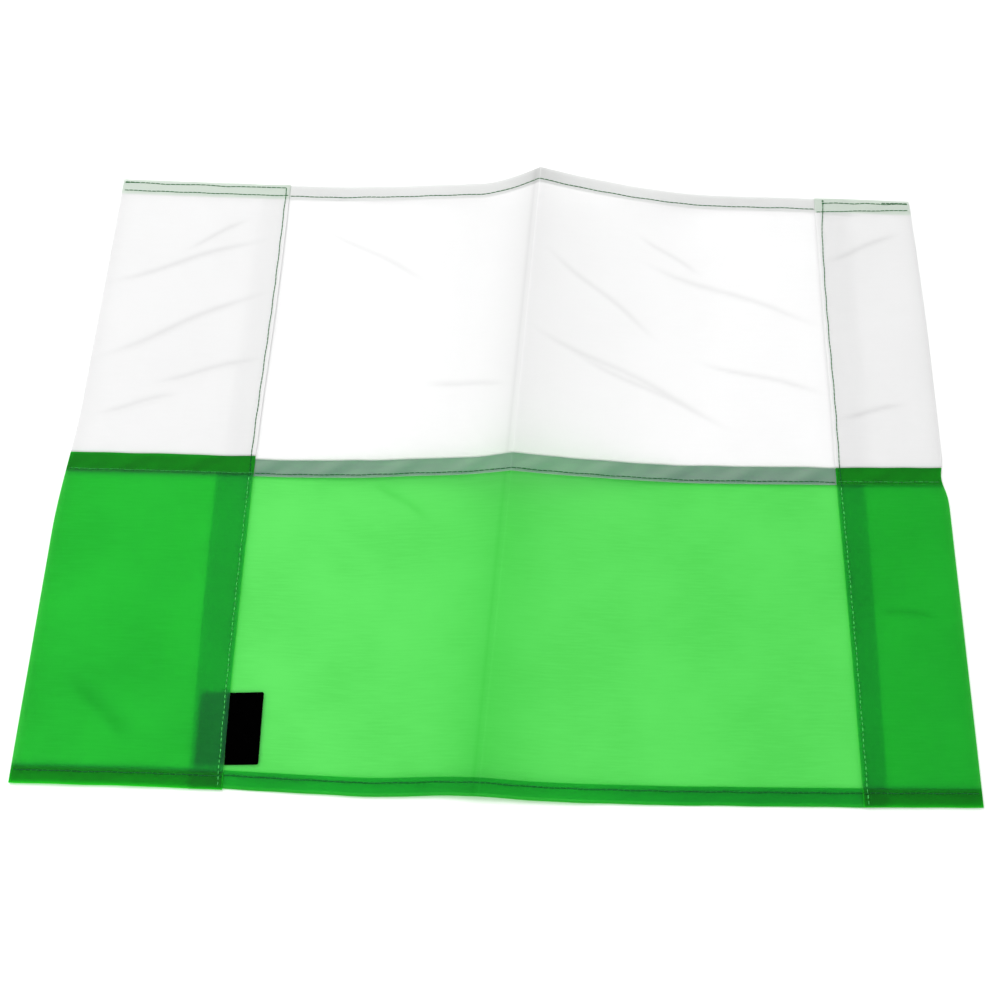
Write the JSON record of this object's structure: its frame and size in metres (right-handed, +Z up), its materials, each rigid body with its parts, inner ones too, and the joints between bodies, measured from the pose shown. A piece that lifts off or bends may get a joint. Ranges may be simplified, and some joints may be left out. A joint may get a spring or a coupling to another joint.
{
  "type": "corner flag cloth",
  "caption": "Rectangular two-colour nylon corner flag cloth with a wide and a narrow sewn pole sleeve, laid flat, with a raised packing crease and a side label.",
  "frame": {"origin": "on the surface the flag lies on, under the middle of its outline", "axes": "+X across the flag from the wide sleeve to the narrow sleeve, +Y towards the white top edge, +Z up from the surface, on the side that the sleeves are folded to"},
  "size_m": [0.45, 0.35, 0.0227],
  "materials": {
    "white_nylon": "thin plain-woven nylon taffeta, slightly translucent, low sheen",
    "green_nylon": "thin plain-woven nylon taffeta in bright green, translucent, low sheen",
    "green_thread": "twisted polyester sewing thread in green",
    "black_label": "dense woven label tape in black with thin pale edges"
  },
  "bodies": {
    "left_half": {"white_panel_left": "white_nylon", "green_panel_left": "green_nylon", "seam_fell_left": "white_nylon", "top_hem_left": "white_nylon", "bottom_hem_left": "green_nylon", "top_hem_thread_left": "green_thread", "seam_thread_left": "green_thread", "bottom_hem_thread_left": "green_thread", "wide_sleeve_white": "white_nylon", "wide_sleeve_green": "green_nylon", "wide_sleeve_top_hem": "white_nylon", "wide_sleeve_mouth_hem": "green_nylon", "wide_sleeve_seam_fell": "green_nylon", "wide_sleeve_thread": "green_thread", "label_tail": "black_label"},
    "right_half": {"white_panel_right": "white_nylon", "green_panel_right": "green_nylon", "seam_fell_right": "white_nylon", "top_hem_right": "white_nylon", "bottom_hem_right": "green_nylon", "top_hem_thread_right": "green_thread", "seam_thread_right": "green_thread", "bottom_hem_thread_right": "green_thread", "narrow_sleeve_white": "white_nylon", "narrow_sleeve_green": "green_nylon", "narrow_sleeve_top_hem": "white_nylon", "narrow_sleeve_mouth_hem": "green_nylon", "narrow_sleeve_seam_fell": "green_nylon", "narrow_sleeve_thread": "green_thread"},
    "label": {"label_flap": "black_label"}
  },
  "joints": [
    {"name": "crease_fold", "type": "hinge", "parent": "left_half", "child": "right_half", "pos_m": [0.0037, 0, 0.01425], "axis": [-0.066, -0.9964, -0.0532], "range_deg": [0, 170]},
    {"name": "label_flip", "type": "hinge", "parent": "left_half", "child": "label", "pos_m": [-0.1245, -0.1459, 0.0011], "axis": [0, -1, 0], "range_deg": [0, 145]}
  ]
}
